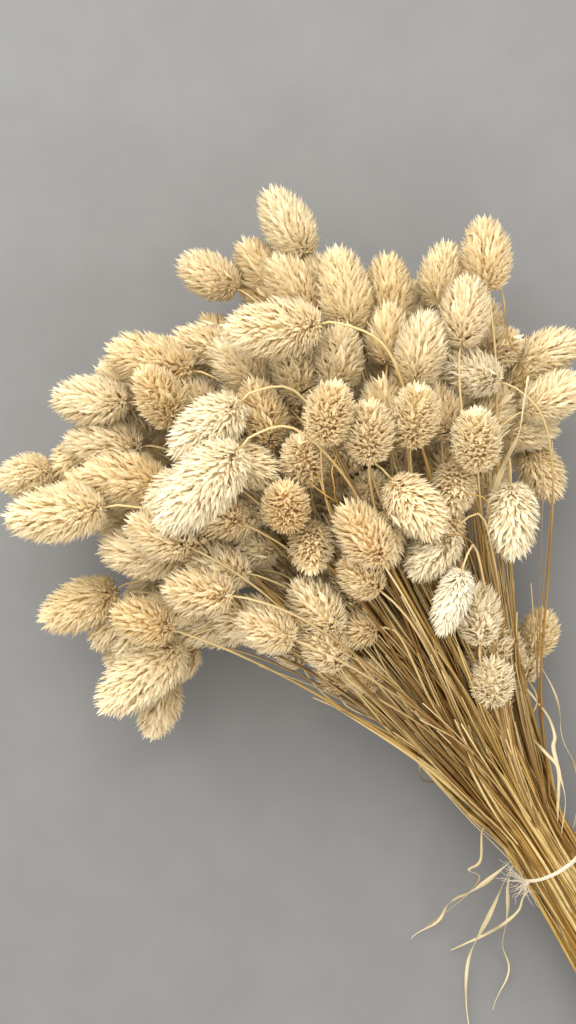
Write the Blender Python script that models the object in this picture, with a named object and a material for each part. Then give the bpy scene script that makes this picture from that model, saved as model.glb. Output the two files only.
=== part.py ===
"""Bleached phalaris grass: a tied bunch of dried stems, each with one seed head, lying on its side.

The bunch rests on the underside of its heads and on its cut ends. While it is built, the tie is at y = 0,
+Y runs along the bunch towards the heads, +X to the right as seen from above, and +Z up; at the end all of
it is shifted so that the origin lies on the resting surface under the middle of its outline. Stems go in
pairs that hold together as one body from the cut ends to just past the tie, where each stem leaves for its
own head.
"""

import math
import random

import bmesh
import bpy
import numpy as np
from mathutils import Vector

MM = 0.001
SEED = 7

# The bound handle: pairs of stems stacked in rows, like bricks
PAIRS = 53
STEM_PITCH = 3.6 * MM
ROW_PITCH = STEM_PITCH * math.sqrt(3) / 2
CORNER_RADIUS = 2.2 * MM
CUT_END = -160 * MM
CUT_END_SPREAD = 1.3
HANDLE_RISE = 0.105
FORK = 12 * MM
COMB = 46 * MM
COMB_SPREAD = 1.4

# The tie: a flat band round the handle, with a knot and two frayed ends
TIE_WIDTH = 3.4 * MM
TIE_THICKNESS = 1.6 * MM
TIE_EDGE = 0.6 * MM
TIE_FACETS = 24
TIE_CLEARANCE = 0.35 * MM
KNOT_TURN = 148
KNOT_SIZE = 3.2 * MM
TIE_END_LENGTH = 14 * MM
TIE_END_WIDTH = 4.5 * MM

# Stems above the tie
STEM_RADIUS_LOW = 1.5 * MM
STEM_RADIUS_HIGH = 0.9 * MM
STEM_STEPS = (0.0, 0.24, 0.46, 0.66, 0.84, 1.0)
NECK = 11 * MM
STEM_STRETCH = 0.9
NECK_STRETCH = 0.6

# Heads: ovate, with pointed spikelets in rings, each ring turned half a step from the last
SPIKELETS_ROUND = 6
HEAD_ROWS = 6
SMALL_HEAD_ROWS = 5
WIDEST = 0.42
VALLEY_DEPTH = 0.6
LAST_ROW = 0.94
FIRST_REACH = 0.7
REACH_GAIN = 0.1

# The crown that the heads fill: its middle and half sizes
CROWN_MIDDLE = np.array([-8, 292, 78]) * MM
CROWN_HALF = np.array([150, 108, 75]) * MM
CROWN_BACK = 222 * MM
OUTER_SPACING = 34 * MM
INNER_SPACING = 25 * MM
INNER_LAYER = 0.74
FREE_HEAD_LENGTH = (36 * MM, 48 * MM)
OUTWARD_TURN = 62

# Settling: how the heads and stems are moved clear of each other
GAP = 0.6 * MM
FLOOR_GAP = 0.3 * MM
HEAD_SINK = 1.5 * MM
EASY_ROUNDS = 150
LAST_ROUNDS = 60
EASE = 0.12
LOOK_AGAIN = 5
LOOK_RANGE = 12 * MM
TINY = 1e-6
SPHERES = np.array([0.14, 0.32, 0.5, 0.68, 0.84, 0.95])
SIDEWAYS_SHARE = 0.55
HEAD_PUSH = 0.25
STEM_PUSH = 0.5
STEM_OFF_HEAD_PUSH = 0.6
HEAD_OFF_STEM_SHARE = 0.35

# Heads that show from above, in millimetres and degrees: across, along, height of the middle,
# turn from +Y towards +X, rise, length
PLACED_HEADS = (
    (-164, 207, 50, -130, 0, 40),
    (-158, 233, 85, -97, 0, 64),
    (-140, 267, 40, -130, 0, 44),
    (-171, 289, 70, -83, 0, 52),
    (-112, 242, 72, -70, 0, 44),
    (-98, 263, 98, -72, 0, 46),
    (-118, 296, 105, -51, 0, 50),
    (-144, 341, 125, -66, 0, 58),
    (-155, 372, 90, -75, 0, 34),
    (-105, 336, 115, -51, 0, 52),
    (-103, 365, 98, -55, 0, 48),
    (-96, 387, 112, -56, 0, 46),
    (-72, 389, 90, -26, 0, 44),
    (-50, 391, 108, -45, 0, 53),
    (-20, 386, 92, -53, 0, 42),
    (3, 419, 85, -31, 0, 40),
    (25, 397, 74, -19, 0, 42),
    (41, 385, 98, -5, 0, 44),
    (53, 420, 95, 0, 0, 47),
    (64, 367, 104, 19, 0, 52),
    (88, 354, 92, 31, 0, 50),
    (98, 340, 66, 31, 0, 42),
    (124, 347, 84, 40, 0, 42),
    (112, 317, 116, 38, 0, 42),
    (148, 343, 104, 26, 0, 44),
    (105, 292, 112, -39, 0, 38),
    (129, 290, 88, 88, 40, 34),
    (155, 274, 80, 97, 0, 44),
    (140, 255, 92, 94, 0, 42),
    (122, 238, 74, 116, 0, 40),
    (119, 212, 56, -177, 0, 42),
    (77, 202, 100, -151, 0, 46),
    (13, 364, 142, -64, 0, 56),
    (-47, 334, 146, -97, 0, 50),
    (-67, 307, 160, -104, 0, 64),
    (-54, 362, 122, -3, 35, 42),
    (-25, 303, 128, 145, 0, 38),
    (-44, 286, 112, -34, 0, 42),
    (-60, 270, 88, -40, 0, 42),
    (-22, 270, 134, 23, 55, 36),
    (-30, 252, 122, -150, 40, 34),
    (-12, 244, 104, -5, 10, 34),
    (-6, 224, 108, -21, 0, 30),
    (30, 235, 126, 169, 0, 44),
    (16, 213, 118, -105, 0, 38),
    (12, 190, 124, -131, 0, 40),
    (52, 233, 122, -137, 30, 34),
    (39, 334, 122, 37, 20, 42),
    (72, 312, 126, 42, 5, 44),
    (15, 306, 148, 41, 35, 38),
    (34, 296, 146, 28, 35, 38),
    (56, 284, 146, 34, 35, 38),
    (72, 256, 138, 21, 40, 40),
    (104, 258, 88, 67, 5, 42),
    (-17, 329, 124, 13, 18, 42),
    (17, 341, 118, 20, 20, 42),
    (-10, 294, 138, 17, 50, 36),
    (12, 284, 116, 29, 50, 36),
    (11, 256, 114, 31, 45, 34),
    (-14, 360, 108, -20, 0, 42),
    (76, 284, 118, 1, 0, 42),
    (36, 158, 86, 26, 0, 36),
    (20, 116, 72, 27, 5, 36),
    (60, 130, 42, 48, 0, 32),
    (-42, 164, 66, -36, 0, 30),
    (-46, 188, 24, -21, 0, 30),
    (-74, 198, 16, 0, 0, 32),
)

# Loose leaves, in millimetres and degrees. A root is the turn round the handle and the place along it where
# the leaf leaves it, and its greatest width. A route's points are across, along, height and lean of its
# width from level
LEAF_THICKNESS = 0.8 * MM
LEAF_STEPS = 14
LEAF_GAP = 0.35 * MM
LEAF_ROUTES = {
    "leaf_long": ((-42, -8, 34, 60), (-72, -38, 14, 20), (-101, -72, 4, -10), (-112, -116, 3, 4)),
    "leaf_left": ((-42, 4, 34, 60), (-64, -2, 20, 30), (-86, -9, 7, 8), (-106, -13, 3, 0)),
    "leaf_back": ((-36, -12, 28, 60), (-50, -40, 14, 30), (-64, -64, 5, 8), (-84, -82, 3, 0)),
    "leaf_right": ((34, 20, 44, 75), (44, 48, 48, 50), (52, 78, 46, 30), (58, 108, 38, 10)),
}
LEAF_ROOTS = {
    "leaf_long": (165, 8, 7.5),
    "leaf_left": (182, 9, 9.0),
    "leaf_back": (200, 7, 6.0),
    "leaf_right": (2, 9, 6.5),
}

STRAW = (0.86, 0.76, 0.55, 1.0)
PALE_CORD = (0.90, 0.88, 0.82, 1.0)
LEAF_STRAW = (0.83, 0.74, 0.53, 1.0)


def clear_scene():
    """Removes what Blender starts with."""
    for obj in list(bpy.data.objects):
        bpy.data.objects.remove(obj, do_unlink=True)


def finish(name, colour, roughness):
    """A plain finish in one colour."""
    made = bpy.data.materials.new(name)
    made.use_nodes = True
    shader = made.node_tree.nodes["Principled BSDF"]
    shader.inputs["Base Color"].default_value = colour
    shader.inputs["Roughness"].default_value = roughness
    shader.inputs["Metallic"].default_value = 0.0
    return made


def object_from(name, bm, look):
    """Turns a bmesh into a named object with its finish."""
    bmesh.ops.recalc_face_normals(bm, faces=bm.faces)
    mesh = bpy.data.meshes.new(name)
    bm.to_mesh(mesh)
    bm.free()
    mesh.materials.append(look)
    obj = bpy.data.objects.new(name, mesh)
    bpy.context.scene.collection.objects.link(obj)
    return obj


def heading(turn, rise):
    """The unit vector that a turn from +Y towards +X and a rise above level give, in degrees."""
    turn, rise = math.radians(turn), math.radians(rise)
    level = math.cos(rise)
    return np.array([math.sin(turn) * level, math.cos(turn) * level, math.sin(rise)])


def head_width(length):
    """Long heads are slimmer for their length than short ones."""
    return 12 * MM + 0.3 * length


def head_profile(share):
    """A head's radius at a share of its length, as a share of its greatest radius."""
    reach = np.where(share < WIDEST, WIDEST + 0.05, 1.0 - WIDEST)
    return np.sqrt(np.clip(1 - ((share - WIDEST) / reach) ** 2, 0.03, 1))


def placed_heads():
    """Base and tip of each head in PLACED_HEADS."""
    found = []
    for across, along, height, turn, rise, length in PLACED_HEADS:
        middle = np.array([across, along, height]) * MM
        half = heading(turn, rise) * length * MM / 2
        found.append((middle - half, middle + half))
    return found


def crown_heads(placed, count, draw):
    """Base and tip of more heads, on a golden spiral: wide apart over the crown, then in gaps inside it."""
    found = []
    middles = [(base + tip) / 2 for base, tip in placed]
    golden = math.pi * (3 - math.sqrt(5))
    tries = 4 * count
    for spacing, layer, order in ((OUTER_SPACING, 1.0, 1), (INNER_SPACING, INNER_LAYER, -1)):
        for i in range(tries)[::order]:
            rise = 2 * (i + 0.5) / tries - 1
            ring = math.sqrt(1 - rise * rise)
            way = np.array([ring * math.cos(golden * i), ring * math.sin(golden * i), rise])
            middle = CROWN_MIDDLE + CROWN_HALF * way * layer
            middle += np.array([draw.uniform(-4, 4) for _ in range(3)]) * MM
            nearest = min(np.linalg.norm(middle - other) for other in middles)
            if middle[1] < CROWN_BACK or nearest < spacing:
                continue
            length = draw.uniform(*FREE_HEAD_LENGTH)
            turn = OUTWARD_TURN * way[0] + draw.uniform(-14, 14)
            half = heading(turn, 18 * way[2] + draw.uniform(-8, 8)) * length / 2
            found.append((middle - half, middle + half))
            middles.append(middle)
            if len(found) == count:
                return found
    raise ValueError(f"the crown holds only {len(found)} more heads")


def handle_sites():
    """The middle of each pair of stems, across and up from the handle's middle, row by row."""
    sites = []
    for row in range(-8, 9):
        for column in range(-5, 6):
            across = (2 * column + 0.5 * (row % 2) + 0.25) * STEM_PITCH
            sites.append((across, row * ROW_PITCH))
    sites.sort(key=lambda site: math.hypot(*site))
    return sorted(sites[:PAIRS], key=lambda site: (round(site[1] / ROW_PITCH), site[0]))


def pair_corners(site):
    """The four corners of a pair's section: left, top, right, bottom."""
    half_width, half_height = 1.5 * CORNER_RADIUS, math.sqrt(3) / 2 * CORNER_RADIUS
    across, up = site
    return (
        (across - half_width, up),
        (across, up + half_height),
        (across + half_width, up),
        (across, up - half_height),
    )


def handle_spread(along):
    """How far the pairs stand apart, as a share of their spacing at the fork."""
    return 1 + (CUT_END_SPREAD - 1) * (FORK - along) / (FORK - CUT_END)


def handle_height(along):
    """Height of the handle's middle: it rises from the cut ends, which touch the surface, to the heads."""
    lowest = -min(up for _, up in handle_sites()) * CUT_END_SPREAD
    cut_height = lowest + math.sqrt(3) / 2 * CORNER_RADIUS
    return cut_height + (along - CUT_END) * HANDLE_RISE


def handle_corner(turn, along):
    """The corner of the bound stems that lies furthest out in a direction, in degrees from +X towards +Z."""
    way = math.cos(math.radians(turn)), math.sin(math.radians(turn))
    spread = handle_spread(along)
    sites = [(across * spread, up * spread) for across, up in handle_sites()]
    corners = [corner for site in sites for corner in pair_corners(site)]
    across, up = max(corners, key=lambda corner: corner[0] * way[0] + corner[1] * way[1])
    return across, up, across * way[0] + up * way[1]


def tie_inside():
    """Distance from the handle's middle to the inner facets of the tie."""
    turns = [360 * facet / TIE_FACETS for facet in range(TIE_FACETS)]
    return max(handle_corner(turn, -TIE_WIDTH / 2)[2] for turn in turns) + TIE_CLEARANCE


def share_out(heads, sites):
    """Gives each pair of stems two heads: low heads go to low rows, and each row runs from left to right."""

    def steepness(head):
        return (head[0][2] - 20 * MM) / (head[0][1] + 60 * MM)

    def side(head):
        return head[0][0] / (head[0][1] + 60 * MM)

    waiting = sorted(heads, key=steepness)
    given = []
    rows = [round(up / ROW_PITCH) for _, up in sites]
    for row in sorted(set(rows)):
        places = 2 * rows.count(row)
        given += sorted(waiting[:places], key=side)
        waiting = waiting[places:]
    return given


def smooth_run(start, start_way, end, end_way, shares):
    """Points on the smooth curves that leave start along start_way and reach end along end_way."""
    s = np.asarray(shares)[None, :, None]
    s2, s3 = s * s, s * s * s
    return (
        (2 * s3 - 3 * s2 + 1) * start[:, None]
        + (s3 - 2 * s2 + s) * start_way[:, None]
        + (3 * s2 - 2 * s3) * end[:, None]
        + (s3 - s2) * end_way[:, None]
    )


def closest_shares(start_a, end_a, start_b, end_b):
    """Shares along two sets of segments where each pair of them comes closest."""
    way_a, way_b, apart = end_a - start_a, end_b - start_b, start_a - start_b
    aa = np.maximum((way_a * way_a).sum(-1), TINY * TINY)
    bb = np.maximum((way_b * way_b).sum(-1), TINY * TINY)
    ab, a0, b0 = (way_a * way_b).sum(-1), (way_a * apart).sum(-1), (way_b * apart).sum(-1)
    a = np.clip((ab * b0 - a0 * bb) / np.maximum(aa * bb - ab * ab, TINY * TINY), 0, 1)
    b = np.clip((ab * a + b0) / bb, 0, 1)
    return np.clip((ab * b - a0) / aa, 0, 1), b


class Bunch:
    """All stems and heads as lines with a thickness, which settle until none reaches into another."""

    def __init__(self, heads, sites):
        self.base = np.array([base for base, _ in heads])
        self.tip = np.array([tip for _, tip in heads])
        self.length = np.linalg.norm(self.tip - self.base, axis=1)
        self.half_width = head_width(self.length) / 2
        self.wanted = self.tip - self.base
        places = np.repeat(np.array(sites), 2, axis=0)
        side = np.tile([-1.0, 1.0], len(sites))
        self.fork = self.ring(places, side * CORNER_RADIUS / 2, 1.0, FORK)
        self.comb = self.ring(places, side * STEM_PITCH / 2, COMB_SPREAD, COMB)
        self.radii = np.interp(STEM_STEPS, [0, 1], [STEM_RADIUS_LOW, STEM_RADIUS_HIGH])
        self.line = self.free_lines()
        self.close = None

    def ring(self, places, offset, spread, along):
        """Where every stem passes a plane across the bunch."""
        across = (places[:, 0] + offset) * spread
        height = handle_height(along)
        return np.stack([across, np.full(len(across), along), height + places[:, 1] * spread], 1)

    def way(self):
        return (self.tip - self.base) / self.length[:, None]

    def free_lines(self):
        """The curve that each stem would take alone, from the comb to its neck."""
        neck = self.base - self.way() * NECK
        reach = np.linalg.norm(neck - self.comb, axis=1)[:, None]
        leave = self.comb - self.fork
        leave = leave / np.linalg.norm(leave, axis=1)[:, None]
        start_way, end_way = leave * reach * STEM_STRETCH, self.way() * reach * NECK_STRETCH
        return smooth_run(self.comb, start_way, neck, end_way, STEM_STEPS)

    def spheres(self):
        """Middles and radii of the balls that fill each head."""
        middles = self.base[:, None] + (self.tip - self.base)[:, None] * SPHERES[None, :, None]
        return middles, head_profile(SPHERES)[None] * self.half_width[:, None]

    def flat_spheres(self):
        middles, radii = self.spheres()
        owner = np.repeat(np.arange(len(radii)), len(SPHERES))
        return middles.reshape(-1, 3), radii.reshape(-1), owner, np.tile(SPHERES, len(radii))

    def pieces(self):
        """Ends, thickness, owner and place of every free piece of stem, necks included."""
        line = np.concatenate([self.line, self.base[:, None]], axis=1)
        radii = np.append(self.radii, STEM_RADIUS_HIGH)
        count, steps = len(line), line.shape[1] - 1
        thick = np.tile(np.maximum(radii[:-1], radii[1:]), count)
        owner, place = np.repeat(np.arange(count), steps), np.tile(np.arange(steps), count)
        return line[:, :-1].reshape(-1, 3), line[:, 1:].reshape(-1, 3), thick, owner, place

    def move_heads(self, owner, share, push):
        """Shifts each head's base and tip by pushes that act at a share of its length."""
        push = push * np.array([SIDEWAYS_SHARE, SIDEWAYS_SHARE, 1.0])
        base, tip = np.zeros_like(self.base), np.zeros_like(self.tip)
        hits = np.maximum(np.bincount(owner, minlength=len(base)), 1)[:, None]
        np.add.at(base, owner, push * (1.5 - share)[:, None])
        np.add.at(tip, owner, push * (0.5 + share)[:, None])
        ease = np.minimum(1.0, 3.0 / hits)
        self.base += base * ease
        self.tip += tip * ease

    def move_stems(self, owner, place, share, push):
        """Shifts stem points by pushes that act at a share of a piece."""
        moved = np.zeros((len(self.base), self.line.shape[1] + 1, 3))
        hits = np.zeros(moved.shape[:2])
        for step, weight in ((0, 1 - share), (1, share)):
            np.add.at(moved, (owner, place + step), push * weight[:, None])
            np.add.at(hits, (owner, place + step), 1)
        moved *= np.minimum(1.0, 2.0 / np.maximum(hits, 1))[..., None]
        self.line[:, 1:-1] += moved[:, 1:-2]
        self.base += moved[:, -1] + moved[:, -2]
        self.tip += moved[:, -1] + moved[:, -2]

    def part_heads(self):
        """Moves heads apart where their balls overlap."""
        middles, radii, owner, share = self.flat_spheres()
        gap = middles[:, None] - middles[None]
        distance = np.linalg.norm(gap, axis=2)
        short = radii[:, None] + radii[None] + GAP - distance
        short[owner[:, None] == owner[None]] = 0
        first, second = np.nonzero(short > 0)
        scale = short[first, second] * HEAD_PUSH / np.maximum(distance[first, second], TINY)
        self.move_heads(owner[first], share[first], gap[first, second] * scale[:, None])

    def part_stems_and_heads(self):
        """Moves stems out of heads, and heads a little away from stems."""
        start, end, thick, owner, place = self.pieces()
        middles, radii, ball_owner, ball_share = self.flat_spheres()
        along = end - start
        reach = np.maximum((along * along).sum(1), TINY * TINY)
        share = ((middles[None] - start[:, None]) * along[:, None]).sum(2) / reach[:, None]
        share = np.clip(share, 0, 1)
        gap = start[:, None] + along[:, None] * share[..., None] - middles[None]
        distance = np.linalg.norm(gap, axis=2)
        short = radii[None] + thick[:, None] + GAP - distance
        own_neck = (owner[:, None] == ball_owner[None]) & (place[:, None] >= len(STEM_STEPS) - 2)
        short[own_neck] = 0
        piece, ball = np.nonzero(short > 0)
        scale = short[piece, ball] * STEM_OFF_HEAD_PUSH / np.maximum(distance[piece, ball], TINY)
        push = gap[piece, ball] * scale[:, None]
        self.move_stems(owner[piece], place[piece], share[piece, ball], push)
        self.move_heads(ball_owner[ball], ball_share[ball], -push * HEAD_OFF_STEM_SHARE)

    def part_stems(self):
        """Moves stems apart where they come too close."""
        start, end, thick, owner, place = self.pieces()
        if self.close is None:
            middle, reach = (start + end) / 2, np.linalg.norm(end - start, axis=1) / 2
            far = np.linalg.norm(middle[:, None] - middle[None], axis=2)
            near = far < reach[:, None] + reach[None] + LOOK_RANGE
            self.close = np.nonzero(near & (owner[:, None] < owner[None]))
        first, second = self.close
        a, b = closest_shares(start[first], end[first], start[second], end[second])
        here = start[first] + (end[first] - start[first]) * a[:, None]
        there = start[second] + (end[second] - start[second]) * b[:, None]
        distance = np.linalg.norm(here - there, axis=1)
        short = thick[first] + thick[second] + GAP - distance
        hit = np.nonzero(short > 0)[0]
        scale = short[hit] * STEM_PUSH / np.maximum(distance[hit], TINY)
        push = (here - there)[hit] * scale[:, None]
        self.move_stems(owner[first[hit]], place[first[hit]], a[hit], push)
        self.move_stems(owner[second[hit]], place[second[hit]], b[hit], -push)

    def keep_shape(self, ease):
        """Heads keep their length and lean back to the way they were set, and nothing passes the floor."""
        now = self.tip - self.base
        wanted = now + (self.wanted - now) * ease
        wanted *= (self.length / np.linalg.norm(wanted, axis=1))[:, None]
        middle = (self.base + self.tip) / 2
        self.base, self.tip = middle - wanted / 2, middle + wanted / 2
        middles, radii = self.spheres()
        low = np.maximum((radii - HEAD_SINK - middles[..., 2]).max(1), 0)
        self.base[:, 2] += low
        self.tip[:, 2] += low
        self.line[:, -1] = self.base - self.way() * NECK
        self.line[:, 0] = self.comb
        self.line[:, 1:-1] += (self.free_lines() - self.line)[:, 1:-1] * ease
        self.line[..., 2] = np.maximum(self.line[..., 2], self.radii[None] + FLOOR_GAP)

    def settle(self):
        """Parts everything step by step, first with a pull back to the wanted shape and then without."""
        for turn in range(EASY_ROUNDS + LAST_ROUNDS):
            if turn % LOOK_AGAIN == 0:
                self.close = None
            self.part_heads()
            self.part_stems_and_heads()
            self.part_stems()
            self.keep_shape(EASE if turn < EASY_ROUNDS else 0.0)


def turned(side, way, new_way):
    """A side vector carried along when the way it goes with turns to new_way."""
    return way.rotation_difference(new_way) @ side


def add_ring(bm, middle, side, up, radius, turns):
    """Adds corners round a middle, at turns in degrees from side towards up."""
    ring = []
    for turn in turns:
        turn = math.radians(turn)
        ring.append(bm.verts.new(middle + (side * math.cos(turn) + up * math.sin(turn)) * radius))
    return ring


def bridge(bm, first, second):
    """Walls between two rings that have the same number of corners."""
    for i in range(len(first)):
        j = (i + 1) % len(first)
        bm.faces.new((first[i], first[j], second[j], second[i]))


def add_head(bm, ring, base, axes, first_turn, size, rows):
    """Grows a head from the last ring of its stem: each diamond of its net rises to a pointed spikelet."""
    way, side, up = axes
    length, half_width = size

    def corner(share, radius, turn):
        turn = math.radians(turn)
        out = side * math.cos(turn) + up * math.sin(turn)
        return bm.verts.new(base + way * (share * length) + out * radius)

    step = 360 / SPIKELETS_ROUND
    net = [[ring[j // 2] for j in range(SPIKELETS_ROUND)]]
    for k in range(1, rows):
        share = LAST_ROW * k / rows
        radius = float(head_profile(share)) * half_width * VALLEY_DEPTH
        turns = [first_turn + step * (j + 0.5 * (k % 2)) for j in range(SPIKELETS_ROUND)]
        net.append([corner(share, radius, turn) for turn in turns])
    pole = bm.verts.new(base + way * (LAST_ROW * length))
    net.append([pole] * SPIKELETS_ROUND)
    for k in range(1, rows):
        share = LAST_ROW * (k * (1 + REACH_GAIN) + FIRST_REACH) / rows
        radius = float(head_profile(share)) * half_width
        for j in range(SPIKELETS_ROUND):
            after = (j + 1) % SPIKELETS_ROUND
            ahead = (j + k % 2) % SPIKELETS_ROUND
            point = corner(share, radius, first_turn + step * (j + 0.5 + 0.5 * (k % 2)))
            around = (net[k - 1][ahead], net[k][after], net[k + 1][ahead], net[k][j])
            for i in range(4):
                bm.faces.new((around[i], around[(i + 1) % 4], point))
    for j in range(0, SPIKELETS_ROUND, 2):
        bm.faces.new((net[1][(j + 1) % SPIKELETS_ROUND], ring[j // 2], ring[(j // 2 + 1) % 3]))


def add_stem(bm, corners, turns, bunch, number):
    """One free stem from the fork to its head, as a three-sided tube, and the head on it."""
    points = [bunch.fork[number], *bunch.line[number], bunch.base[number]]
    points = [Vector(point) for point in points]
    radii = [*bunch.radii, STEM_RADIUS_HIGH]
    way, side = Vector((0, 1, 0)), Vector((1, 0, 0))
    ring = corners
    for i, radius in enumerate(radii, start=1):
        ahead = points[min(i + 1, len(points) - 1)]
        new_way = (ahead - points[i - 1]).normalized()
        side = turned(side, way, new_way)
        way = new_way
        new_ring = add_ring(bm, points[i], side, side.cross(way), radius, turns)
        bridge(bm, ring, new_ring)
        ring = new_ring
    rows = HEAD_ROWS if number in bunch.full_heads else SMALL_HEAD_ROWS
    first_turn = turns[0] - 180 / SPIKELETS_ROUND
    size = bunch.length[number], bunch.half_width[number]
    add_head(bm, ring, points[-1], (way, side, side.cross(way)), first_turn, size, rows)


def add_spray(name, site, bunch, pair, look):
    """Two stems as one body: a shared length through the tie, then a fork to two heads."""
    bm = bmesh.new()
    rings = []
    for along in (CUT_END, FORK):
        spread, height = handle_spread(along), handle_height(along)
        corners = pair_corners((site[0] * spread, site[1] * spread))
        rings.append([bm.verts.new((across, along, height + up)) for across, up in corners])
    bm.faces.new(rings[0])
    bridge(bm, rings[0], rings[1])
    left, top, right, bottom = rings[1]
    add_stem(bm, [top, left, bottom], (60, 180, 300), bunch, 2 * pair)
    add_stem(bm, [right, top, bottom], (0, 120, 240), bunch, 2 * pair + 1)
    bmesh.ops.triangulate(bm, faces=bm.faces)
    return object_from(name, bm, look)


def add_tie(name, look):
    """A flat band round the handle, with a knot at its left and two frayed ends."""
    inside, half = tie_inside(), TIE_WIDTH / 2
    section = (
        (inside, -half),
        (inside + TIE_THICKNESS - TIE_EDGE, -half),
        (inside + TIE_THICKNESS, -half + TIE_EDGE),
        (inside + TIE_THICKNESS, half - TIE_EDGE),
        (inside + TIE_THICKNESS - TIE_EDGE, half),
        (inside, half),
    )
    step = math.radians(360 / TIE_FACETS)
    bm = bmesh.new()
    rings = []
    for facet in range(TIE_FACETS):
        turn, stretch = step * (facet + 0.5), 1 / math.cos(step / 2)
        across, up = math.cos(turn) * stretch, math.sin(turn) * stretch
        rings.append([bm.verts.new((across * reach, along, up * reach)) for reach, along in section])
    for i, ring in enumerate(rings):
        bridge(bm, ring, rings[(i + 1) % TIE_FACETS])
    band = object_from(name, bm, look)
    turn = math.radians(KNOT_TURN)
    out = Vector((math.cos(turn), 0, math.sin(turn)))
    seat = out * (inside + TIE_THICKNESS + KNOT_SIZE * 0.55)
    extras = [knot_lump("knot", seat, look)]
    for side, fall in ((1, 0.2), (-1, -0.5)):
        run = Vector((-0.55, side, fall)).normalized()
        extras.append(tie_end(f"tie_end_{side}", seat, run, out, look))
    for extra in extras:
        join = band.modifiers.new("join", "BOOLEAN")
        join.operation = "UNION"
        join.object = extra
        bpy.context.view_layer.objects.active = band
        bpy.ops.object.modifier_apply(modifier=join.name)
        bpy.data.objects.remove(extra, do_unlink=True)
    rise = math.atan(HANDLE_RISE)
    for vertex in band.data.vertices:
        along, up = vertex.co.y, vertex.co.z
        vertex.co.y = along * math.cos(rise) - up * math.sin(rise)
        vertex.co.z = along * math.sin(rise) + up * math.cos(rise) + handle_height(0)


def knot_lump(name, seat, look):
    """The knot: a rounded lump that sinks into the band."""
    bm = bmesh.new()
    bmesh.ops.create_icosphere(bm, subdivisions=1, radius=KNOT_SIZE)
    bmesh.ops.translate(bm, verts=bm.verts, vec=seat)
    return object_from(name, bm, look)


def tie_end(name, seat, run, out, look):
    """A loose end of the band, which widens as it frays."""
    bm = bmesh.new()
    across = run.cross(out).normalized()
    thick = across.cross(run) * (TIE_THICKNESS / 2)
    rings = []
    for reach, width in ((0.0, 0.5), (0.5, 0.7), (1.0, 1.0)):
        middle, half = seat + run * (TIE_END_LENGTH * reach), across * (TIE_END_WIDTH * width / 2)
        corners = (middle - half - thick, middle + half - thick, middle + half + thick, middle - half + thick)
        rings.append([bm.verts.new(corner) for corner in corners])
    bm.faces.new(rings[0])
    bridge(bm, rings[0], rings[1])
    bridge(bm, rings[1], rings[2])
    bm.faces.new(rings[2])
    return object_from(name, bm, look)


def through(points, share):
    """A point on the smooth curve through all the points, at a share of the way along it."""
    place = share * (len(points) - 1)
    i = min(int(place), len(points) - 2)
    t = place - i
    before, here, there = points[max(i - 1, 0)], points[i], points[i + 1]
    after = points[min(i + 2, len(points) - 1)]
    return 0.5 * (
        2 * here + (there - before) * t
        + (2 * before - 5 * here + 4 * there - after) * t * t
        + (3 * here - before - 3 * there + after) * t * t * t
    )


def add_leaf(name, look):
    """A dry leaf blade: a thin strip from the handle's side, tapering to its tip."""
    turn, along, width = LEAF_ROOTS[name]
    along, width = along * MM, width * MM
    across, up, _ = handle_corner(turn, along)
    way = math.radians(turn)
    off = LEAF_GAP + LEAF_THICKNESS / 2
    root = (across + off * math.cos(way), along, handle_height(along) + up + off * math.sin(way))
    leave = 90 if root[0] < 0 else -90
    points = [np.array([*root, math.radians(leave)])]
    for x, y, z, lean in LEAF_ROUTES[name]:
        points.append(np.array([x * MM, y * MM, z * MM, math.radians(lean)]))
    bm = bmesh.new()
    rings = []
    for step in range(LEAF_STEPS + 1):
        share = step / LEAF_STEPS
        here, lean = Vector(through(points, share)[:3]), through(points, share)[3]
        ahead = Vector(through(points, min(share + 0.02, 1))[:3])
        behind = Vector(through(points, max(share - 0.02, 0))[:3])
        way = (ahead - behind).normalized()
        level = way.cross(Vector((0, 0, 1))).normalized()
        side = level * math.cos(lean) + level.cross(way) * math.sin(lean)
        blade = width / 2 * max(math.sin(math.pi * min(0.12 + 0.86 * share, 1)), 0.16)
        side, thick = side * blade, way.cross(side).normalized() * LEAF_THICKNESS / 2
        corners = (here - side + thick, here + side + thick, here + side - thick, here - side - thick)
        rings.append([bm.verts.new(corner) for corner in corners])
    bm.faces.new(rings[0])
    for first, second in zip(rings, rings[1:]):
        for left, right in ((0, 1), (1, 2), (3, 2), (0, 3)):
            bm.faces.new((first[left], first[right], second[right]))
            bm.faces.new((first[left], second[right], second[left]))
    bm.faces.new(rings[-1])
    bmesh.ops.triangulate(bm, faces=[face for face in bm.faces if len(face.verts) == 4])
    object_from(name, bm, look)


def stand_over_origin():
    """Shifts everything so that the origin is on the surface, under the middle of the outline."""
    objects = list(bpy.data.objects)
    corners = np.array([vertex.co for obj in objects for vertex in obj.data.vertices])
    low, high = corners.min(0), corners.max(0)
    shift = Vector((-(low[0] + high[0]) / 2, -(low[1] + high[1]) / 2, -low[2]))
    for obj in objects:
        for vertex in obj.data.vertices:
            vertex.co += shift


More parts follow.
